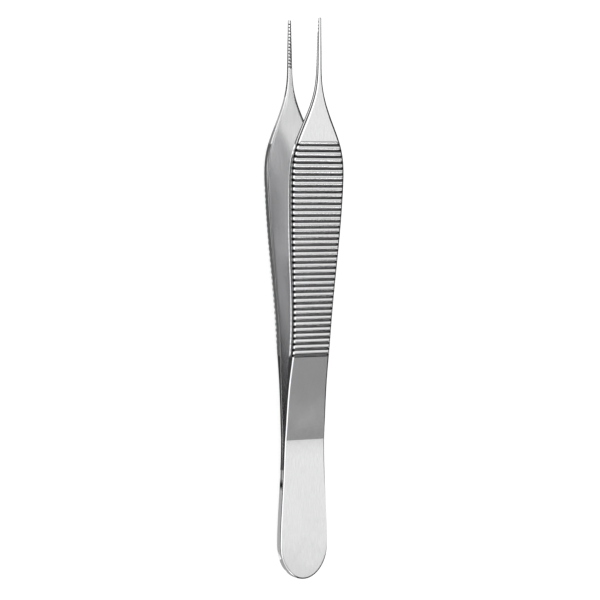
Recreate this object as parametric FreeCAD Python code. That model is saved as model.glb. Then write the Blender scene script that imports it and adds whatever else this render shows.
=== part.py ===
import FreeCAD, Part

# Thumb forceps with fine serrated jaws, lying on the outer face of one arm.
# Two mirrored steel arms are welded together at the heel and spring apart
# towards the tips. An arm is drawn from the mid-plane between the two:
# X across the arm, Y from the heel to the tips, Z away from the other arm.
# Lengths are in millimetres.

import math
import os

from FreeCAD import Vector

# Lengths along the forceps, one after the other from the heel to the tips
weld_length = 20.5
heel_flat_run = 4.5
heel_rise_run = 5.2
throat_length = 18.3
rib_count = 36
rib_pitch = 1.246
shoulder_length = 10.7
shank_length = 16.0

# Plan widths of one arm, and how far some of them lie from their neighbours
heel_width = 11.35
heel_end_round = 7.5
weld_width = 10.2
waist_width = 9.15
waist_setback = 4.9
rib_start_width = 8.95
swell_setback = 10.0
rib_middle_width = 11.05
belly_width = 12.25
belly_setback = 8.9
corner_width = 11.4
corner_setback = 2.0
rib_end_width = 10.3
shoulder_middle_width = 5.9
shank_root_width = 2.1
shank_middle_width = 0.84
tip_width = 0.6

# Thickness of one arm
heel_thickness = 1.02
spring_thickness = 0.88
waist_thickness = 1.3
rib_start_thickness = 1.93
swell_thickness = 1.98
rib_middle_thickness = 2.4
belly_thickness = 2.38
rib_end_thickness = 1.9
shank_root_thickness = 1.4
tip_thickness = 0.82

# Clear gap between the arms at rest
bend_gap = 0.58
waist_gap = 3.1
rib_start_gap = 4.0
swell_gap = 6.14
rib_middle_gap = 7.36
rib_end_gap = 10.8
shank_root_gap = 12.3
tip_gap = 13.4

# Rounded edges: the outer ones along the arm, and the inner ones
heel_edge_round = 0.35
rib_edge_round = 0.5
shank_edge_round = 0.4
tip_edge_round = 0.26
inner_edge_round = 0.12

# Ribs for the thumb and finger, ground across the outer face
rib_depth = 0.32
rib_bulge = 0.06
rib_crest_trim = 0.016

# Serrations across the inner face of each jaw
serration_count = 14
serration_pitch = 0.7
serration_depth = 0.24
serration_setback = 0.65

# Small pit at each side where the weld stops
pit_radius = 0.3
pit_depth = 0.5

# How finely curved faces are drawn: flats round an edge, steps in a span,
# steps round the heel, the short step that gives a curve its direction, and how
# far apart the stations are at which the arm is tried against a table
edge_facets = 3
span_steps = 3
heel_steps = 8
direction_step = 0.002
rest_step = 0.3

# How far a cutting shape reaches past what it cuts
overreach = 2.0

# Stations along an arm
weld_end = weld_length
flat_end = weld_end + heel_flat_run
bend = flat_end + heel_rise_run
rib_start = bend + throat_length
rib_end = rib_start + rib_count * rib_pitch
shank_root = rib_end + shoulder_length
overall_length = shank_root + shank_length
waist = rib_start - waist_setback
swell = rib_start + swell_setback
rib_middle = (rib_start + rib_end) / 2
belly = rib_end - belly_setback
corner = rib_end - corner_setback
shoulder_middle = (rib_end + shank_root) / 2
shank_middle = (shank_root + overall_length) / 2

side_reach = max(heel_width, belly_width) / 2 + overreach
height_reach = tip_gap / 2 + tip_thickness + overreach

ALONG = Vector(0, 1, 0)
ACROSS = Vector(1, 0, 0)
CENTRE = Vector(0, 0, 0)


def side(station, height):
    """A point of the side view."""
    return Vector(0, station, height)


def plan(half_width, station):
    """A point of the plan view."""
    return Vector(half_width, station, 0)


def spline(points, start, end):
    """A smooth curve through the points with the given end directions."""
    curve = Part.BSplineCurve()
    curve.interpolate(Points=points, InitialTangent=start, FinalTangent=end)
    return curve


def course(points, start, end):
    """A smooth curve whose parameter is the station along the arm."""
    curve = Part.BSplineCurve()
    curve.interpolate(
        Points=points,
        Parameters=[point.y for point in points],
        InitialTangent=start,
        FinalTangent=end,
        Scale=False,
    )
    return curve


def straight(start, end):
    """A straight edge."""
    return Part.LineSegment(start, end).toShape()


def closed_line(corners):
    """Straight edges around the corners, back to the first."""
    return [straight(first, second) for first, second in zip(corners, corners[1:] + corners[:1])]


def face_of(edges):
    """A flat face inside a closed run of edges."""
    return Part.Face(Part.Wire(Part.__sortEdges__(edges)))


def solid_of(faces):
    """A solid inside faces that share their edges."""
    shell = Part.Shell(faces)
    shell.sewShape()
    solid = Part.Solid(shell)
    if solid.Volume < 0:
        solid.reverse()
    return solid


def across(face, half_reach):
    """A side view drawn out to both sides."""
    solid = face.extrude(ACROSS * (2 * half_reach))
    solid.translate(ACROSS * -half_reach)
    return solid


def slope_between(first, second):
    """The direction from one point to the next, per millimetre of station."""
    run = second - first
    return run * (1 / run.y)


def outward_at(curve, station):
    """The direction square to a side-view curve, away from the other arm."""
    run = curve.tangent(station)[0]
    return Vector(0, -run.z, run.y)


def inner_course():
    """Side view of the inner face, from the end of the weld to the tip."""
    points = [
        side(weld_end, 0),
        side(bend, bend_gap / 2),
        side(waist, waist_gap / 2),
        side(rib_start, rib_start_gap / 2),
        side(swell, swell_gap / 2),
        side(rib_middle, rib_middle_gap / 2),
        side(rib_end, rib_end_gap / 2),
        side(shank_root, shank_root_gap / 2),
        side(overall_length, tip_gap / 2),
    ]
    return course(points, ALONG, slope_between(points[-2], points[-1]))


def outer_course(inner):
    """Side view of the outer face, from the bend to the tip."""
    thicknesses = [
        (bend, spring_thickness),
        (waist, waist_thickness),
        (rib_start, rib_start_thickness),
        (swell, swell_thickness),
        (rib_middle, rib_middle_thickness),
        (belly, belly_thickness),
        (rib_end, rib_end_thickness),
        (shank_root, shank_root_thickness),
        (overall_length, tip_thickness),
    ]
    points = []
    for station, thickness in thicknesses:
        points.append(inner.value(station) + Vector(0, 0, thickness))
    start = slope_between(points[0], points[1])
    return course(points, start, slope_between(points[-2], points[-1]))


def edge_course():
    """Plan view of the right edge, from the heel's widest point to the tip."""
    widths = [
        (heel_end_round, heel_width),
        (weld_end, weld_width),
        (waist, waist_width),
        (rib_start, rib_start_width),
        (rib_middle, rib_middle_width),
        (belly, belly_width),
        (corner, corner_width),
        (rib_end, rib_end_width),
        (shoulder_middle, shoulder_middle_width),
        (shank_root, shank_root_width),
        (shank_middle, shank_middle_width),
        (overall_length, tip_width),
    ]
    points = [plan(width / 2, station) for station, width in widths]
    return course(points, ALONG, ALONG)


class Arm:
    """The sizes of an arm's cross-section at each station."""

    def __init__(self):
        self.inner = inner_course()
        self.outer = outer_course(self.inner)
        self.edge = edge_course()

    def inner_height(self, station):
        """Height of the inner face; the heel stands on the mid-plane."""
        if station <= weld_end:
            return 0
        return self.inner.value(station).z

    def outer_height(self, station):
        """Height of the outer face: flat heel, gentle rise, crease, then the spring."""
        if station >= bend:
            return self.outer.value(station).z
        share = max(0, station - flat_end) / heel_rise_run
        rise = self.outer.value(bend).z - heel_thickness
        return heel_thickness + rise * share * share

    def edge_round(self, station):
        """Radius of the outer edges: even steps between named stations."""
        finest = min(tip_edge_round, (tip_width - inner_edge_round) / 2)
        radii = [
            (flat_end, heel_edge_round),
            (rib_start, rib_edge_round),
            (rib_end, rib_edge_round),
            (shank_root, shank_edge_round),
            (overall_length, finest),
        ]
        if station <= flat_end:
            return heel_edge_round
        for (start, first), (end, last) in zip(radii, radii[1:]):
            if station <= end:
                return first + (last - first) * (station - start) / (end - start)
        return finest

    def corners(self, station, broken):
        """The right half of the cross-section, from inside to outside."""
        half_width = self.edge.value(station).x
        low = self.inner_height(station)
        high = self.outer_height(station)
        corners = []
        if broken:
            corners.append(Vector(half_width - inner_edge_round, station, low))
            corners.append(Vector(half_width, station, low + inner_edge_round))
        else:
            corners.append(Vector(half_width, station, low))
        radius = self.edge_round(station)
        for inset, below in round_steps(radius):
            corners.append(Vector(half_width - inset, station, high - below))
        return corners


def round_steps(radius):
    """Inset and drop of the points that draw a rounded outer edge."""
    steps = []
    for number in range(edge_facets + 1):
        angle = math.pi / 2 * number / edge_facets
        steps.append((radius * (1 - math.cos(angle)), radius * (1 - math.sin(angle))))
    return steps


def mirrored(point):
    """The same point on the left."""
    return Vector(-point.x, point.y, point.z)


def stretch_stations(start, end):
    """Stations of a stretch: each span between named stations in even steps."""
    named = [weld_end, flat_end, bend, waist, rib_start, swell, rib_middle, belly, corner,
             rib_end, shoulder_middle, shank_root, shank_middle, overall_length]
    marks = [start] + sorted(mark for mark in named if start < mark < end) + [end]
    stations = []
    for first, second in zip(marks, marks[1:]):
        for step in range(span_steps):
            stations.append(first + (second - first) * step / span_steps)
    return stations + [end]


def level_face(first, second):
    """A flat face between two edges that lie in one plane."""
    starts = [edge.valueAt(edge.FirstParameter) for edge in (first, second)]
    ends = [edge.valueAt(edge.LastParameter) for edge in (first, second)]
    return face_of([first, straight(*ends), second, straight(*starts)])


def stretch(arm, start, end, flat, broken):
    """A stretch of the arm: flat faces or not, inner edges broken or not."""
    stations = stretch_stations(start, end)
    rows = [arm.corners(station, broken) for station in stations]
    after_start = arm.corners(start + direction_step, broken)
    before_end = arm.corners(end - direction_step, broken)
    right = []
    left = []
    for number in range(len(rows[0])):
        points = [row[number] for row in rows]
        first = slope_between(points[0], after_start[number])
        last = slope_between(before_end[number], points[-1])
        right.append(course(points, first, last).toShape())
        points = [mirrored(point) for point in points]
        left.append(course(points, mirrored(first), mirrored(last)).toShape())
    faces = []
    for hand in (right, left):
        for first, second in zip(hand, hand[1:]):
            faces.append(Part.makeRuledSurface(first, second))
    for first, second in ((right[0], left[0]), (right[-1], left[-1])):
        faces.append(level_face(first, second) if flat else Part.makeRuledSurface(first, second))
    for row in (rows[0], rows[-1]):
        corners = row + [mirrored(point) for point in row[::-1]]
        faces.append(face_of(closed_line(corners)))
    return solid_of(faces)


def heel_outline(inset, height):
    """Plan view of the heel's half-oval end, from right to left, inset evenly."""
    points = []
    for step in range(heel_steps + 1):
        angle = math.pi * (1 / 2 - step / heel_steps)
        across_end = heel_width / 2 * math.sin(angle)
        along_end = heel_end_round * (1 - math.cos(angle))
        normal = Vector(math.sin(angle) * heel_end_round, -math.cos(angle) * heel_width / 2, 0)
        normal.normalize()
        points.append(Vector(across_end, along_end, height) - normal * inset)
    return spline(points, -ALONG, ALONG).toShape()


def heel_end(arm):
    """The half-oval end of the heel as a solid."""
    radius = arm.edge_round(0)
    levels = [heel_outline(0, 0)]
    for inset, below in round_steps(radius):
        levels.append(heel_outline(inset, heel_thickness - below))
    faces = []
    for first, second in zip(levels, levels[1:]):
        faces.append(Part.makeRuledSurface(first, second))
    for level in (levels[0], levels[-1]):
        ends = [vertex.Point for vertex in level.Vertexes]
        faces.append(face_of([level, straight(ends[0], ends[1])]))
    corners = arm.corners(heel_end_round, False)
    corners = corners + [mirrored(point) for point in corners[::-1]]
    faces.append(face_of(closed_line(corners)))
    return solid_of(faces)


def blank_arm(arm):
    """The arm before its ribs, serrations and tip are cut."""
    pieces = [
        heel_end(arm),
        stretch(arm, heel_end_round, weld_end, flat=True, broken=False),
        stretch(arm, weld_end, bend, flat=False, broken=True),
        stretch(arm, bend, overall_length, flat=False, broken=True),
    ]
    return pieces[0].multiFuse(pieces[1:])


def rib_comb(outer):
    """Cuts the V valleys that leave a row of convex ribs on the outer face."""
    stations = [rib_start + rib_pitch * number for number in range(rib_count + 1)]
    crests = []
    valleys = []
    for station in stations:
        between = station + rib_pitch / 2
        crests.append(outer.value(between) + outward_at(outer, between) * rib_crest_trim)
        valleys.append(outer.value(station) - outward_at(outer, station) * rib_depth)
    before = rib_start - rib_pitch / 2
    first = outer.value(before) + outward_at(outer, before) * rib_crest_trim
    edges = []
    start = first
    for valley, crest in zip(valleys, crests):
        edges.append(rib_flank(start, valley))
        edges.append(rib_flank(valley, crest))
        start = crest
    lift = Vector(0, 0, overreach)
    edges.append(straight(start, start + lift))
    edges.append(straight(start + lift, first + lift))
    edges.append(straight(first + lift, first))
    return across(face_of(edges), side_reach)


def rib_flank(start, end):
    """One convex flank between a rib's crest and the valley beside it."""
    run = end - start
    outward = Vector(0, -run.z, run.y).normalize()
    middle = (start + end) / 2 + outward * rib_bulge
    return Part.Arc(start, middle, end).toShape()


def serration_comb(inner):
    """Cuts sharp teeth across the inner face of a jaw."""
    last = overall_length - serration_setback
    half = serration_pitch / 2
    edges = []
    start = inner.value(last) - outward_at(inner, last) * rib_crest_trim
    first = start
    for number in range(serration_count):
        bottom_at = last - half - serration_pitch * number
        tooth_at = bottom_at - half
        bottom = inner.value(bottom_at) + outward_at(inner, bottom_at) * serration_depth
        tooth = inner.value(tooth_at) - outward_at(inner, tooth_at) * rib_crest_trim
        edges.append(straight(start, bottom))
        edges.append(straight(bottom, tooth))
        start = tooth
    drop = Vector(0, 0, -overreach)
    edges.append(straight(start, start + drop))
    edges.append(straight(start + drop, first + drop))
    edges.append(straight(first + drop, first))
    return across(face_of(edges), side_reach)


def nose_block(half_size, height, upright):
    """A long block with a half-round nose at the tip, to trim the tip to."""
    back = overall_length - shank_length / 2
    nose = overall_length - half_size
    edges = []
    corners = []
    for offset in (-half_size, half_size):
        corners.append((side(nose, height + offset), side(back, height + offset)))
    edges.append(straight(corners[0][1], corners[0][0]))
    edges.append(Part.Arc(corners[0][0], side(overall_length, height), corners[1][0]).toShape())
    edges.append(straight(corners[1][0], corners[1][1]))
    edges.append(straight(corners[1][1], corners[0][1]))
    block = across(face_of(edges), side_reach)
    if upright:
        block.rotate(Vector(0, 0, height), ALONG, 90)
    return block


def rounded_tip(arm, inner):
    """Round the tip's end in both views."""
    height = inner.value(overall_length).z + tip_thickness / 2
    back = overall_length - tip_thickness
    square = Part.makeBox(
        2 * side_reach,
        overreach + tip_thickness,
        2 * height_reach,
        Vector(-side_reach, back, -height_reach),
    )
    flat_nose = square.cut(nose_block(tip_thickness / 2, height, False))
    upright_nose = square.cut(nose_block(tip_width / 2, height, True))
    return arm.cut(flat_nose).cut(upright_nose)


def weld_pits():
    """The small pits where the weld stops, one at each side."""
    surface = weld_width / 2
    pits = []
    for hand in (-1, 1):
        mouth = Vector(hand * (surface + overreach), weld_end, 0)
        inward = Vector(-hand, 0, 0)
        pits.append(Part.makeCylinder(pit_radius, overreach + pit_depth, mouth, inward))
    return pits


def make_arm(arm):
    """One finished arm, above the mid-plane."""
    solid = blank_arm(arm)
    solid = solid.cut(rib_comb(arm.outer))
    solid = solid.cut(serration_comb(arm.inner))
    solid = rounded_tip(solid, arm.inner)
    for pit in weld_pits():
        solid = solid.cut(pit)
    return solid.removeSplitter().Solids[0]


def rest_tilt(outer):
    """How far the forceps tip up when the heel and the ribs lie on a table."""
    centre = side(heel_edge_round, heel_thickness - heel_edge_round)
    steepest = 0
    steps = round((overall_length - rib_start) / rest_step)
    for step in range(steps + 1):
        station = rib_start + (overall_length - rib_start) * step / steps
        reach = outer.value(station) - centre
        slope = math.atan2(reach.z, reach.y) - math.asin(heel_edge_round / reach.Length)
        steepest = max(steepest, slope)
    return math.degrees(steepest)


def main():
    """Make both arms, lay them down and write them."""
    arm = Arm()
    upper = make_arm(arm)
    lower = upper.mirror(CENTRE, Vector(0, 0, 1))
    arms = {"upper_arm": upper, "lower_arm": lower}
    for solid in arms.values():
        solid.rotate(CENTRE, ACROSS, rest_tilt(arm.outer))
    box = Part.makeCompound(list(arms.values())).optimalBoundingBox(False, False)
    middle = Vector((box.XMin + box.XMax) / 2, (box.YMin + box.YMax) / 2, box.ZMin)
    os.makedirs("parts", exist_ok=True)
    for name, solid in arms.items():
        solid.translate(-middle)
        solid.exportStep("parts/" + name + ".step")
        print(name, "closed:", solid.isValid(), "volume:", round(solid.Volume, 2))


main()
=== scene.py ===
# Thumb forceps in satin stainless steel, lying on the outer face of the rear arm.
# Each arm is one blade: a sheet folded round the section, then shaped along the arm.

import math

import bmesh
import bpy
from mathutils import Matrix, Vector


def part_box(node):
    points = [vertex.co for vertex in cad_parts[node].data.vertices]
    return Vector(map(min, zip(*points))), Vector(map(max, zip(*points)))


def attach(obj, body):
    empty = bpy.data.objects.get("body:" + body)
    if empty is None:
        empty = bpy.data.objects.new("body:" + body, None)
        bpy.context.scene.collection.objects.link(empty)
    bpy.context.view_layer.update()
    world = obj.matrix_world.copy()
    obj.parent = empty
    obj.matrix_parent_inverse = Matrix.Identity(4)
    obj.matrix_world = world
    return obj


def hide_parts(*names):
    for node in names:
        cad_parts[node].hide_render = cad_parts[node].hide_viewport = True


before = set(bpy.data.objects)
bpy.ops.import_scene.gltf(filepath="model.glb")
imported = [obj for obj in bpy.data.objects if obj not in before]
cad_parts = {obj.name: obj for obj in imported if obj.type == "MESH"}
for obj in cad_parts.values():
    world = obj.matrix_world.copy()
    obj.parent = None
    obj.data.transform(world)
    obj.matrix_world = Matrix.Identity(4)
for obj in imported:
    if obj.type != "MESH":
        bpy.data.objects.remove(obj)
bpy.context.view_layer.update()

MM = 0.001

# The arm's own sizes, in mm. A station is a distance along the arm from the heel's end.
WELD_END = 20.5
FLAT_END = 25.0
BEND = 30.2
RIB_START = 48.5
RIB_COUNT = 36
RIB_PITCH = 1.246
RIB_END = RIB_START + RIB_COUNT * RIB_PITCH
SHANK_ROOT = RIB_END + 10.7
LENGTH = SHANK_ROOT + 16.0
WAIST = RIB_START - 4.9
SWELL = RIB_START + 10.0
RIB_MIDDLE = (RIB_START + RIB_END) / 2
BELLY = RIB_END - 8.9

HEEL_ROUND = 7.5
HEEL_WIDTH = 11.35
HEEL_THICKNESS = 1.02
SPRING_THICKNESS = 0.88
TIP_THICKNESS = 0.82
TIP_WIDTH = 0.6
TIP_GAP = 13.4

HALF_WIDTHS = [
    (HEEL_ROUND, HEEL_WIDTH / 2),
    (WELD_END, 5.1),
    (WAIST, 4.575),
    (RIB_START, 4.475),
    (RIB_MIDDLE, 5.525),
    (BELLY, 6.125),
    (RIB_END - 2.0, 5.7),
    (RIB_END, 5.15),
    ((RIB_END + SHANK_ROOT) / 2, 2.95),
    (SHANK_ROOT, 1.05),
    ((SHANK_ROOT + LENGTH) / 2, 0.42),
    (LENGTH, TIP_WIDTH / 2),
]
INNER_HEIGHTS = [
    (WELD_END, 0.0),
    (BEND, 0.29),
    (WAIST, 1.55),
    (RIB_START, 2.0),
    (SWELL, 3.07),
    (RIB_MIDDLE, 3.68),
    (RIB_END, 5.4),
    (SHANK_ROOT, 6.15),
    (LENGTH, TIP_GAP / 2),
]
THICKNESSES = [
    (BEND, SPRING_THICKNESS),
    (WAIST, 1.3),
    (RIB_START, 1.93),
    (SWELL, 1.98),
    (RIB_MIDDLE, 2.4),
    (BELLY, 2.38),
    (RIB_END, 1.9),
    (SHANK_ROOT, 1.4),
    (LENGTH, TIP_THICKNESS),
]
OUTER_ROUNDS = [
    (0.0, 0.35),
    (FLAT_END, 0.35),
    (RIB_START, 0.5),
    (RIB_END, 0.55),
    ((RIB_END + SHANK_ROOT) / 2, 0.62),
    (SHANK_ROOT, 0.45),
    (LENGTH, 0.26),
]
INNER_ROUND = 0.2
OUTER_STEPS = 8
INNER_STEPS = 3
# How much the sides bulge, as a share of their height.
SIDE_BULGE = 0.035

RIB_DEPTH = 0.32
# Below 1 the ribs are fuller and the valleys between them narrower.
RIB_FULLNESS = 0.85
# How far the first and last valleys slope up to the plain steel, as a share of the pitch.
END_SLOPE = 0.3
TOOTH_COUNT = 14
TOOTH_PITCH = 0.7
TOOTH_DEPTH = 0.24
TOOTH_SETBACK = 0.65
PIT_RADIUS = 0.3
PIT_DEPTH = 0.5

# Where the painted shade starts: depths as shares of the full depth of a rib's valley or a tooth.
# Deeper than this the steel is painted dark, as shade.
RIB_SHADE_DEPTH = 0.6
TOOTH_SHADE_DEPTH = 0.56
SHADE_FADE = 0.2
# Painted dark lines: how dark the painted shade is at each step round the inner edge, along the
# shoulder's outer edge and on the shoulder's sides. They are painted reflections of dark
# surroundings.
INNER_EDGE_PAINTED_SHADES = (0.95, 0.9, 0.65, 0.0)
SHOULDER_PAINTED_LINE = 0.85
SIDE_PAINTED_LINE = 0.95
# The shoulder's painted dark lines stop this far before the tip.
LINE_STOP = 3.0

# Corners sharper than this many degrees are shown sharp.
SHARP_ANGLE = 28
MERGE_DISTANCE = 0.0015
SLIVER_DISTANCE = 0.0008


def smooth_law(points, start_slope=None, end_slope=None):
    """A smooth curve through (station, value) points, as a function of the station."""
    stations = [p[0] for p in points]
    values = [p[1] for p in points]
    count = len(points)
    steps = [stations[i + 1] - stations[i] for i in range(count - 1)]
    rises = [(values[i + 1] - values[i]) / steps[i] for i in range(count - 1)]
    first = rises[0] if start_slope is None else start_slope
    last = rises[-1] if end_slope is None else end_slope
    lower = [0.0] * count
    middle = [1.0] * count
    upper = [0.0] * count
    right = [first] + [0.0] * (count - 2) + [last]
    for i in range(1, count - 1):
        lower[i] = steps[i]
        middle[i] = 2 * (steps[i - 1] + steps[i])
        upper[i] = steps[i - 1]
        right[i] = 3 * (rises[i - 1] * steps[i] + rises[i] * steps[i - 1])
    for i in range(1, count):
        share = lower[i] / middle[i - 1]
        middle[i] -= share * upper[i - 1]
        right[i] -= share * right[i - 1]
    slopes = [0.0] * count
    slopes[-1] = right[-1] / middle[-1]
    for i in range(count - 2, -1, -1):
        slopes[i] = (right[i] - upper[i] * slopes[i + 1]) / middle[i]

    def law(station):
        at = min(max(station, stations[0]), stations[-1])
        i = 0
        while i < count - 2 and at > stations[i + 1]:
            i += 1
        t = (at - stations[i]) / steps[i]
        return (
            (1 + 2 * t) * (1 - t) ** 2 * values[i]
            + t * (1 - t) ** 2 * steps[i] * slopes[i]
            + t * t * (3 - 2 * t) * values[i + 1]
            + t * t * (t - 1) * steps[i] * slopes[i + 1]
        )

    return law


def straight_law(points):
    """Straight runs between (station, value) points."""

    def law(station):
        if station <= points[0][0]:
            return points[0][1]
        for (a, low), (b, high) in zip(points, points[1:]):
            if station <= b:
                return low + (high - low) * (station - a) / (b - a)
        return points[-1][1]

    return law


half_width_law = smooth_law(HALF_WIDTHS, 0.0, 0.0)
inner_law = smooth_law(INNER_HEIGHTS, 0.0, None)
outer_law = smooth_law([(s, inner_law(s) + t) for s, t in THICKNESSES])
outer_round_law = straight_law(OUTER_ROUNDS)


def half_width(station):
    """Half the plan width, with the heel's half-oval and the tip's half-round end."""
    if station < HEEL_ROUND:
        share = 1 - max(station, 0.0) / HEEL_ROUND
        return HEEL_WIDTH / 2 * math.sqrt(max(0.0, 1 - share * share))
    width = half_width_law(station)
    nose = TIP_WIDTH / 2
    past = (station - (LENGTH - nose)) / nose
    if past > 0:
        width *= math.sqrt(max(0.0, 1 - past * past))
    return width


def nose_share(station):
    """1 along the arm, falling to 0 round the tip's nose in the side view."""
    half = TIP_THICKNESS / 2
    past = (station - (LENGTH - half)) / half
    return 1.0 if past <= 0 else math.sqrt(max(0.0, 1 - past * past))


def inner_height(station):
    """Height of the inner face above the mid-plane."""
    low = 0.0 if station <= WELD_END else inner_law(station)
    return low + TIP_THICKNESS / 2 * (1 - nose_share(station))


def outer_height(station):
    """Height of the outer face: flat heel, gentle rise, crease, then the spring."""
    if station < BEND:
        share = max(0.0, station - FLAT_END) / (BEND - FLAT_END)
        return HEEL_THICKNESS + (outer_law(BEND) - HEEL_THICKNESS) * share * share
    return outer_law(station) - TIP_THICKNESS / 2 * (1 - nose_share(station))


def rib_cut(station):
    """How deep the ribs' valleys are cut at a station."""
    along = (station - RIB_START) / RIB_PITCH
    if along < -0.5 or along > RIB_COUNT + 0.5:
        return 0.0
    if along < 0 or along > RIB_COUNT:
        past = -along if along < 0 else along - RIB_COUNT
        return RIB_DEPTH * max(0.0, 1 - past / END_SLOPE)
    return RIB_DEPTH * (1 - abs(math.sin(math.pi * along)) ** RIB_FULLNESS)


def tooth_cut(station):
    """How deep the jaw's teeth are cut at a station."""
    along = (LENGTH - TOOTH_SETBACK - station) / TOOTH_PITCH
    if along < 0 or along > TOOTH_COUNT:
        return 0.0
    return TOOTH_DEPTH * (1 - abs(2 * (along % 1) - 1))


def pit_height(station):
    """Height of the half-round pit at each side where the weld stops."""
    away = station - WELD_END
    return math.sqrt(max(0.0, PIT_RADIUS**2 - away * away))


def stations_along():
    """Stations from the heel's end to the tip, close together where the form turns."""
    steps = 20
    found = [HEEL_ROUND * (1 - math.cos(math.pi / 2 * i / steps)) for i in range(steps + 1)]

    def run(start, end, step):
        count = max(1, round((end - start) / step))
        found.extend(start + (end - start) * i / count for i in range(1, count + 1))

    run(HEEL_ROUND, WELD_END - PIT_RADIUS, 1.0)
    for i in range(1, 13):
        found.append(WELD_END - PIT_RADIUS * math.cos(math.pi * i / 12))
    run(WELD_END + PIT_RADIUS, FLAT_END, 1.0)
    run(FLAT_END, BEND - 0.06, 0.4)
    found.extend([BEND, BEND + 0.06])
    run(BEND + 0.06, RIB_START - 0.5 * RIB_PITCH, 0.8)
    corner = END_SLOPE * RIB_PITCH
    found.extend([RIB_START - corner - 0.03, RIB_START - corner, RIB_START - corner / 2])
    shares = (0.0, 0.04, 0.1, 0.18, 0.28, 0.39, 0.5, 0.61, 0.72, 0.82, 0.9, 0.96)
    for number in range(RIB_COUNT):
        found.extend(RIB_START + RIB_PITCH * (number + share) for share in shares)
    found.extend([RIB_END, RIB_END + corner / 2, RIB_END + corner, RIB_END + corner + 0.03])
    teeth_from = LENGTH - TOOTH_SETBACK - TOOTH_PITCH * TOOTH_COUNT
    run(RIB_END + corner + 0.03, teeth_from, 0.4)
    run(teeth_from, LENGTH - TOOTH_SETBACK, TOOTH_PITCH / 4)
    run(LENGTH - TOOTH_SETBACK, LENGTH - TIP_THICKNESS / 2, 0.12)
    for i in range(1, 11):
        found.append(LENGTH - TIP_THICKNESS / 2 * (1 - math.sin(math.pi / 2 * i / 10)))
    return found


def section():
    """The right half of the section from the outer face's middle to the inner one's.
    Each point is (kind, amount): a share across a face, or an angle round an edge."""
    points = [("outer", share) for share in (0.0, 0.3, 0.6, 0.85, 0.94)]
    points += [("outer_edge", math.pi / 2 * i / OUTER_STEPS) for i in range(OUTER_STEPS + 1)]
    points += [("side", share) for share in (0.15, 0.3, 0.45, 0.6, 0.75, 0.9)]
    points += [("inner_edge", math.pi / 2 * i / INNER_STEPS) for i in range(INNER_STEPS + 1)]
    points += [("inner_by", PIT_DEPTH - 0.01), ("inner_by", PIT_DEPTH + 0.01)]
    points += [("inner", share) for share in (0.75, 0.5, 0.25, 0.0)]
    return points


SECTION = section()


def place(station, kind, amount, hand):
    """Where one point of the section lies, in the arm's own frame."""
    near = 0.002
    width = half_width(station)
    run = Vector((half_width(station + near) - half_width(station - near), 2 * near))
    if station <= 0:
        run = Vector((1.0, 0.0))
    if station >= LENGTH:
        run = Vector((-1.0, 0.0))
    run.normalize()
    normal = Vector((run.y, -run.x))
    thickness = outer_height(station) - inner_height(station)
    outer_round = min(outer_round_law(station), 0.48 * thickness + 1e-4, 0.9 * width + 1e-4)
    if station <= 0:
        outer_round = outer_round_law(0)
    inner_round = 0.0 if station <= WELD_END else min(INNER_ROUND, 0.3 * thickness)
    # The sides are slightly barrelled between the rounded edges.
    barrelled = min(1.0, max(0.0, station - WELD_END) / (BEND - WELD_END))
    barrelled *= SIDE_BULGE * max(0.0, thickness - outer_round - inner_round)
    inset = barrelled
    across = 1.0
    if kind == "outer":
        inset, across = barrelled + outer_round, amount
    elif kind == "outer_edge":
        inset = barrelled + outer_round * (1 - math.sin(amount))
    elif kind == "side":
        inset = barrelled * (2 * amount - 1) ** 2
    elif kind == "inner_edge":
        inset = barrelled + inner_round * (1 - math.cos(amount))
    elif kind == "inner_by":
        rim = barrelled + inner_round
        inset = max(rim, min(rim + amount, 0.5 * width))
    elif kind == "inner":
        rim = barrelled + inner_round
        inset, across = max(rim, min(rim + PIT_DEPTH + 0.01, 0.5 * width)), amount
    x = max(0.0, width - inset * normal.x) * across
    y = station - inset * normal.y
    high = outer_height(y)
    low = inner_height(y)
    if kind == "outer":
        z = high
    elif kind == "outer_edge":
        z = high - outer_round * (1 - math.cos(amount))
    elif kind == "side":
        z = (high - outer_round) * (1 - amount) + (low + inner_round) * amount
    elif kind == "inner_edge":
        z = low + inner_round * (1 - math.sin(amount))
    else:
        z = low
    if kind in ("outer", "outer_edge"):
        z = min(z, high - rib_cut(y))
    else:
        z = max(z, low + tooth_cut(y))
    if kind not in ("outer", "outer_edge") and x > width - PIT_DEPTH:
        z = max(z, pit_height(y))
    return Vector((hand * x, y, z))


def painted_shade_past(depth):
    """How dull the steel is and how dark its painted shade is, at a depth past where the painted
    shade starts.
    """
    return min(1.0, max(0.0, depth) / SHADE_FADE)


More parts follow.
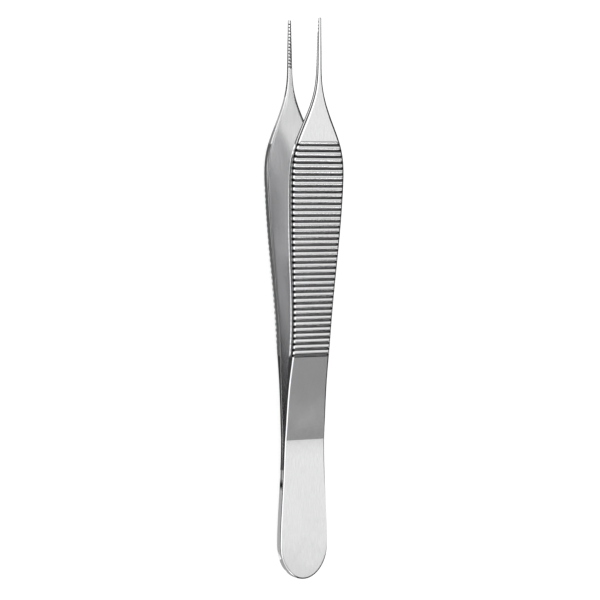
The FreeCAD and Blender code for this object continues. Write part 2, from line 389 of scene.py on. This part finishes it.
def painted_shade_share(kind, amount, station, edge_end):
    """How dull the steel is and how much painted shade darkens it: 1 at the bottom of a valley and
    in a pit beside the weld, where shade is painted in dark, and 0 on the open steel. The inner
    edges as far as edge_end and the shoulder's sides take painted shade too, as the photograph's
    thin dark lines."""
    rib_depth = rib_cut(station) / RIB_DEPTH
    on_shoulder = RIB_END < station < LENGTH - LINE_STOP
    # Painted shade fills the pit beside the weld.
    if kind in ("side", "inner_edge", "inner_by") and pit_height(station) > 0:
        return 1.0
    # A painted dark line round the inner edge.
    if kind == "inner_edge" and WELD_END < station < edge_end:
        return INNER_EDGE_PAINTED_SHADES[round(amount / (math.pi / 2) * INNER_STEPS)]
    if kind == "outer":
        return painted_shade_past(rib_depth - RIB_SHADE_DEPTH)
    if kind == "outer_edge":
        # Round the edge the painted shade starts higher up, so each valley's painted shade widens
        # to a notch.
        along = amount / (math.pi / 2)
        # A painted dark line along the shoulder's outer edge.
        painted_line = SHOULDER_PAINTED_LINE if along > 0.7 and on_shoulder else 0.0
        return max(painted_line, painted_shade_past(rib_depth - max(0.06, 0.4 - 0.7 * along)))
    # A painted dark line on the shoulder's sides.
    if kind == "side" and on_shoulder:
        return SIDE_PAINTED_LINE if amount > 0.4 and station < edge_end else 0.0
    if kind == "side" and RIB_START < station <= RIB_END:
        return max(0.0, rib_depth - 0.1) * (1 - amount)
    return painted_shade_past(tooth_cut(station) / TOOTH_DEPTH - TOOTH_SHADE_DEPTH)


def fold_blade(edge_end):
    """A flat sheet folded round the section at every station, closed at seam and ends.
    Its inner edges take a painted dark line as far as the station edge_end."""
    stations = stations_along()
    ring = [(kind, amount, 1) for kind, amount in SECTION]
    ring += [(kind, amount, -1) for kind, amount in SECTION[-2:0:-1]]
    ring.append(ring[0])
    bm = bmesh.new()
    # Per point: how much rougher the steel is and how much painted shade darkens it, in valleys,
    # pits, teeth and along some edges.
    dull_and_painted_shade = bm.verts.layers.float.new("dull_and_painted_shade")
    inside = bm.verts.layers.float.new("inside")
    bmesh.ops.create_grid(bm, x_segments=len(ring) - 1, y_segments=len(stations) - 1, size=1)
    for vert in bm.verts:
        column = round((vert.co.x + 1) / 2 * (len(ring) - 1))
        row = round((vert.co.y + 1) / 2 * (len(stations) - 1))
        kind, amount, hand = ring[column]
        vert.co = place(stations[row], kind, amount, hand)
        vert[dull_and_painted_shade] = painted_shade_share(kind, amount, vert.co.y, edge_end)
        vert[inside] = 1.0 if kind in ("inner", "inner_by") else 0.0
    bmesh.ops.remove_doubles(bm, verts=bm.verts[:], dist=MERGE_DISTANCE)
    bmesh.ops.dissolve_degenerate(bm, dist=SLIVER_DISTANCE, edges=bm.edges[:])
    open_edges = [edge for edge in bm.edges if edge.is_boundary]
    if open_edges:
        bmesh.ops.holes_fill(bm, edges=open_edges, sides=0)
    bmesh.ops.recalc_face_normals(bm, faces=bm.faces[:])
    return bm


def rest_turn():
    """How far the forceps tip up when the heel and the ribs lie on the table, in radians."""
    radius = outer_round_law(0)
    steepest = 0.0
    for step in range(401):
        station = RIB_START + (LENGTH - RIB_START) * step / 400
        along = station - radius
        up = outer_law(station) - (HEEL_THICKNESS - radius)
        steepest = max(steepest, math.atan2(up, along) - math.asin(radius / math.hypot(up, along)))
    return steepest


def make_arm(name, node, mirrored, placing):
    """One arm as a finished piece that stands for its CAD node."""
    # The photograph shows the dark line along the whole front arm, but on the rear arm
    # only as far as the end of the ribs.
    # The dark line is painted onto the inner edges.
    bm = fold_blade(RIB_END if mirrored else LENGTH)
    if mirrored:
        bmesh.ops.scale(bm, vec=(1, 1, -1), verts=bm.verts[:])
        bmesh.ops.reverse_faces(bm, faces=bm.faces[:])
    bmesh.ops.transform(bm, matrix=placing, verts=bm.verts[:])
    mesh = bpy.data.meshes.new(name)
    bm.to_mesh(mesh)
    bm.free()
    for face in mesh.polygons:
        face.use_smooth = True
    mesh.set_sharp_from_angle(angle=math.radians(SHARP_ANGLE))
    arm = bpy.data.objects.new(name, mesh)
    bpy.context.scene.collection.objects.link(arm)
    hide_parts(node)
    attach(arm, "root")
    return arm


turn = Matrix.Rotation(rest_turn(), 4, "X")
# The CAD box fixes where the pair lies: the heel's end in Y and the floor in Z.
lower_low, lower_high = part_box("lower_arm")
probe = fold_blade(RIB_END)
bmesh.ops.scale(probe, vec=(1, 1, -1), verts=probe.verts[:])
bmesh.ops.transform(probe, matrix=turn, verts=probe.verts[:])
probe_low_y = min(vert.co.y for vert in probe.verts)
probe_high_y = max(vert.co.y for vert in probe.verts)
probe_low_z = min(vert.co.z for vert in probe.verts)
probe.free()
shift = Vector((
    0.0,
    (lower_low.y + lower_high.y) / 2 / MM - (probe_low_y + probe_high_y) / 2,
    lower_low.z / MM - probe_low_z,
))
placing = Matrix.Scale(MM, 4) @ Matrix.Translation(shift) @ turn
front_arm = make_arm("front_arm", "upper_arm", False, placing)
rear_arm = make_arm("rear_arm", "lower_arm", True, placing)


def linear(code):
    """An sRGB hex colour as linear RGBA."""
    channels = [int(code[i:i + 2], 16) / 255 for i in (1, 3, 5)]
    return [c / 12.92 if c <= 0.04045 else ((c + 0.055) / 1.055) ** 2.4 for c in channels] + [1.0]


def add_node(tree, kind, settings=None, inputs=None, links=None):
    """Adds a node with its settings, its values and its links from other nodes' outputs."""
    node = tree.nodes.new(kind)
    for key, value in (settings or {}).items():
        setattr(node, key, value)
    for key, value in (inputs or {}).items():
        node.inputs[key].default_value = value
    for key, socket in (links or {}).items():
        tree.links.new(socket, node.inputs[key])
    return node


def new_material(name):
    """An empty node material and its output node."""
    material = bpy.data.materials.new(name)
    material.use_nodes = True
    material.node_tree.nodes.clear()
    return material, material.node_tree


def satin_steel():
    """Stainless steel, ground along the arm and polished: a pale grey metal with soft reflections,
    faint long grinding lines, cloudy gloss, and rougher steel with near-black painted shade in the
    valleys, pits and teeth and as dark lines along some edges."""
    material, tree = new_material("satin_stainless_steel")
    place_on = add_node(tree, "ShaderNodeTexCoord")
    # Real grinding lines are 0.02 mm apart; they are drawn 0.12 mm apart so that they show.
    lines_map = add_node(tree, "ShaderNodeMapping", inputs={"Scale": (8300.0, 160.0, 8300.0)},
                         links={"Vector": place_on.outputs["Object"]})
    lines = add_node(tree, "ShaderNodeTexNoise", inputs={"Scale": 1.0, "Detail": 3.0},
                     links={"Vector": lines_map.outputs["Vector"]})
    # Cloudy patches about 4 mm across, left by handling and sterilising.
    clouds = add_node(tree, "ShaderNodeTexNoise", inputs={"Scale": 250.0, "Detail": 4.0},
                      links={"Vector": place_on.outputs["Object"]})
    gloss = add_node(tree, "ShaderNodeMapRange",
                     inputs={"From Min": 0.3, "From Max": 0.7, "To Min": 0.12, "To Max": 0.16},
                     links={"Value": clouds.outputs["Fac"]})
    tint = add_node(tree, "ShaderNodeMapRange",
                    inputs={"From Min": 0.3, "From Max": 0.7},
                    links={"Value": lines.outputs["Fac"]})
    polished = add_node(tree, "ShaderNodeMix", settings={"data_type": "RGBA"},
                        inputs={"A": linear("#E0E0E1"), "B": linear("#EAEAEB")},
                        links={"Factor": tint.outputs["Result"]})
    dull_and_painted_shade = add_node(tree, "ShaderNodeAttribute", settings={"attribute_name": "dull_and_painted_shade"})
    # Painted shade: the steel colour goes to near-black #1A1A1B as the attribute rises, in the
    # valleys, pits and teeth and along the painted edge lines.
    steel = add_node(tree, "ShaderNodeMix", settings={"data_type": "RGBA"},
                     inputs={"B": linear("#1A1A1B")},
                     links={"Factor": dull_and_painted_shade.outputs["Fac"], "A": polished.outputs["Result"]})
    inside = add_node(tree, "ShaderNodeAttribute", settings={"attribute_name": "inside"})
    matt = add_node(tree, "ShaderNodeMath", settings={"operation": "MULTIPLY_ADD"},
                    inputs={1: 0.08}, links={0: inside.outputs["Fac"], 2: gloss.outputs["Result"]})
    dull = add_node(tree, "ShaderNodeMath", settings={"operation": "MULTIPLY_ADD"},
                    inputs={1: 0.3}, links={0: dull_and_painted_shade.outputs["Fac"], 2: matt.outputs[0]})
    relief = add_node(tree, "ShaderNodeBump", inputs={"Strength": 0.05, "Distance": 0.00001},
                      links={"Height": lines.outputs["Fac"]})
    shader = add_node(tree, "ShaderNodeBsdfPrincipled", inputs={"Metallic": 1.0},
                      links={"Base Color": steel.outputs["Result"],
                             "Roughness": dull.outputs[0],
                             "Normal": relief.outputs["Normal"]})
    add_node(tree, "ShaderNodeOutputMaterial", links={"Surface": shader.outputs["BSDF"]})
    return material


steel = satin_steel()
for arm in (front_arm, rear_arm):
    arm.data.materials.append(steel)


def board(name, size, material):
    """A flat square board of the studio, lying at floor height."""
    bm = bmesh.new()
    bmesh.ops.create_grid(bm, x_segments=1, y_segments=1, size=size / 2)
    mesh = bpy.data.meshes.new(name)
    bm.to_mesh(mesh)
    bm.free()
    mesh.materials.append(material)
    piece = bpy.data.objects.new(name, mesh)
    bpy.context.scene.collection.objects.link(piece)
    return piece


# The middle of the forceps' height, which the lamps and the camera face, in m.
AIM = Vector((0, 0, 0.008))
# The floor cards lie this far above the floor, in mm.
CARD_HEIGHT = 0.3


def floor_material():
    """Matt white paper on a light table: it stays white to the eye and takes a soft shadow."""
    material, tree = new_material("white_paper")
    paper = add_node(tree, "ShaderNodeBsdfDiffuse", inputs={"Color": linear("#9A9A9A")})
    glow = add_node(tree, "ShaderNodeEmission", inputs={"Strength": 0.72})
    both = add_node(tree, "ShaderNodeAddShader")
    tree.links.new(paper.outputs[0], both.inputs[0])
    tree.links.new(glow.outputs[0], both.inputs[1])
    add_node(tree, "ShaderNodeOutputMaterial", links={"Surface": both.outputs[0]})
    return material


def card(name, corners, level):
    """A flat card with the given corners, seen only in the metal."""
    material, tree = new_material(name)
    face = add_node(tree, "ShaderNodeEmission", inputs={"Strength": level})
    add_node(tree, "ShaderNodeOutputMaterial", links={"Surface": face.outputs[0]})
    bm = bmesh.new()
    bmesh.ops.create_grid(bm, x_segments=1, y_segments=1, size=1)
    for vert in bm.verts:
        column = 1 if vert.co.x > 0 else 0
        row = 1 if vert.co.y > 0 else 0
        vert.co = Vector(corners[2 * row + column])
    mesh = bpy.data.meshes.new(name)
    bm.to_mesh(mesh)
    bm.free()
    mesh.materials.append(material)
    piece = bpy.data.objects.new(name, mesh)
    bpy.context.scene.collection.objects.link(piece)
    piece.visible_camera = False
    piece.visible_diffuse = False
    piece.visible_shadow = False
    return piece


def on_floor(name, low, high, level):
    """A card just above the floor. Low and high are its ends along the forceps, each
    (place along, left, right); sizes in mm."""
    corners = [(x * MM, along * MM, CARD_HEIGHT * MM)
               for along, left, right in (low, high) for x in (left, right)]
    return card(name, corners, level)


def wall(name, start, end, low, high, level):
    """An upright card between two places on the floor; sizes in mm."""
    corners = [(x * MM, y * MM, z * MM) for z in (low, high) for x, y in (start, end)]
    return card(name, corners, level)


# The flat faces mirror the sky in this direction, at this distance in m.
OVERHEAD = Vector((0.45, 0.0, 0.893))
SIDEWAYS = Vector((0.893, 0.0, -0.45))
OVERHEAD_REACH = 0.7


def overhead(name, low_x, high_x, low_y, high_y, level):
    """A card above, where the flat faces mirror it; sizes in m across and along."""
    corners = [OVERHEAD * OVERHEAD_REACH + SIDEWAYS * x + Vector((0, y, 0))
               for y in (low_y, high_y) for x in (low_x, high_x)]
    return card(name, corners, level)


def lamp(name, position, size_x, size_y, radiance):
    """A rectangular soft box that faces the object."""
    light = bpy.data.lights.new(name, "AREA")
    light.shape = "RECTANGLE"
    light.size = size_x
    light.size_y = size_y
    light.energy = radiance * math.pi * size_x * size_y
    holder = bpy.data.objects.new(name, light)
    bpy.context.scene.collection.objects.link(holder)
    z = (Vector(position) - AIM).normalized()
    y = (Vector((0, 1, 0)) - z * z.y).normalized()
    x = y.cross(z)
    holder.matrix_world = Matrix.Translation(position) @ Matrix((x, y, z)).transposed().to_4x4()
    return holder


board("floor", 4.0, floor_material())

# The polished steel mirrors these cards. Their levels are set to the photograph's
# tones, as seen from its camera. The ones on the floor follow the slanted outline of the
# forceps, because each side of an arm mirrors the floor just beside it.
overhead("grey_card", -0.33, 1.2, -0.6, -0.243, 0.33)
on_floor("right_of_ribs", (10, 6.4, 17), (60, 6.4, 17), 0.62)
on_floor("right_of_waist", (-28, 5.2, 17), (10, 6.4, 17), 0.1)
on_floor("far_right", (-28, 17, 330), (300, 17, 330), 0.02)
on_floor("beside_waist", (-36.5, -12, -5), (-12, -12, -4.55), 0.05)
on_floor("beside_low_ribs", (-12, -6.2, -4.55), (24, -7.6, -6.2), 0.13)
on_floor("beside_high_ribs", (24, -7.6, -6.2), (34, -7.0, -5.0), 0.13)
on_floor("white_strip_low", (-12, -8.4, -6.2), (24, -10.4, -7.6), 1.4)
on_floor("white_strip_high", (24, -10.4, -7.6), (34, -10.4, -7.0), 1.4)
on_floor("dark_strip", (-12, -11.5, -8.4), (34, -14.5, -10.4), 0.04)
on_floor("grey_strip", (-12, -20, -11.5), (34, -25, -14.5), 0.42)
on_floor("close_to_shoulder", (34, -7.0, -5.0), (38, -5.2, -3.5), 0.3)
on_floor("beside_shoulder", (38, -5.2, -3.5), (44, -2.6, -1.0), 0.5)
on_floor("left_of_shoulder", (34, -14, -7.0), (44, -14, -2.6), 1.4)
on_floor("left_of_tips", (44, -14, -2.6), (70, -14, -2.2), 1.4)
on_floor("beside_tips", (44, -2.2, -0.6), (63, -2.2, -0.45), 0.1)
on_floor("far_left_of_tips", (34, -380, -14), (300, -380, -14), 0.03)
on_floor("far_left_of_ribs", (-12, -380, -20), (34, -380, -25), 0.03)
on_floor("far_left_of_waist", (-36.5, -380, -12), (-12, -380, -12), 0.03)
on_floor("beside_heel", (-56, -8, -5.9), (-36.5, -8, -5.2), 0.5)
on_floor("beside_heel_curve", (-58.5, -8, -3.7), (-56, -8, -5.1), 0.45)
on_floor("beside_heel_end", (-60.3, -8, -0.6), (-58.5, -8, -3.7), 0.42)
on_floor("before_heel_end", (-64, -8, 1), (-60.3, -8, 1), 0.3)
on_floor("far_left_of_heel", (-200, -380, -8), (-36.5, -380, -8), 0.03)
on_floor("before_heel", (-300, -8, 1), (-64, -8, 1), 0.03)
on_floor("before_heel_right", (-300, 1, 60), (-60.3, 1, 60), 0.03)
on_floor("right_of_heel_curve", (-60.3, 1, 60), (-56, 5.1, 60), 0.03)
wall("dark_card_right", (50.0, -47.0), (50.0, 25.0), 0.0, 66.0, 0.02)
wall("dark_card_shoulder", (50.0, 25.0), (50.0, 45.0), 0.0, 76.0, 0.01)
wall("dark_card_tips", (50.0, 45.0), (15.0, 95.0), 0.0, 80.0, 0.01)
wall("dark_card_heel", (60.0, -75.0), (0.0, -120.0), 0.0, 70.0, 0.02)
wall("dark_wall_left", (-380.0, -200.0), (-380.0, 300.0), 0.0, 90.0, 0.03)

lamp("soft_box_heel_side", (0.25, -0.66, 0.30), 0.9, 0.5, 1.2)
lamp("soft_box_tip_side", (0.22, 0.62, 0.36), 0.9, 0.5, 1.6)
lamp("soft_box_left", (-0.40, 0.0, 0.55), 0.7, 0.8, 0.6)

world = bpy.data.worlds.new("plain_studio")
bpy.context.scene.world = world
world.use_nodes = True
world.node_tree.nodes.clear()
sky = add_node(world.node_tree, "ShaderNodeBackground",
               inputs={"Color": linear("#FFFFFF"), "Strength": 1.0})
add_node(world.node_tree, "ShaderNodeOutputWorld", links={"Surface": sky.outputs[0]})

bpy.context.scene.view_settings.view_transform = "Standard"

# The camera looks down on the forceps from the left, as in the photograph.
SWING = math.radians(26.715)
PITCH = math.radians(0.144)
ROLL = math.radians(-1.631)
DISTANCE = 0.560
FOCAL = 157.65
SHIFT_LEFT = 0.001876
SHIFT_DOWN = 0.000210
UP = Vector((0, 1, 0))
toward = Vector((-math.sin(SWING), 0, math.cos(SWING)))
right = Vector((math.cos(SWING), 0, math.sin(SWING)))
back = toward * math.cos(PITCH) - UP * math.sin(PITCH)
up = UP * math.cos(PITCH) + toward * math.sin(PITCH)
camera_right = right * math.cos(ROLL) + up * math.sin(ROLL)
camera_up = up * math.cos(ROLL) - right * math.sin(ROLL)
camera_data = bpy.data.cameras.new("camera")
camera_data.lens = FOCAL
camera_data.sensor_width = 36.0
camera = bpy.data.objects.new("camera", camera_data)
bpy.context.scene.collection.objects.link(camera)
eye = AIM + back * DISTANCE - camera_right * SHIFT_LEFT - camera_up * SHIFT_DOWN
camera.matrix_world = Matrix.Translation(eye) @ Matrix(
    (camera_right, camera_up, back)
).transposed().to_4x4()
bpy.context.scene.camera = camera
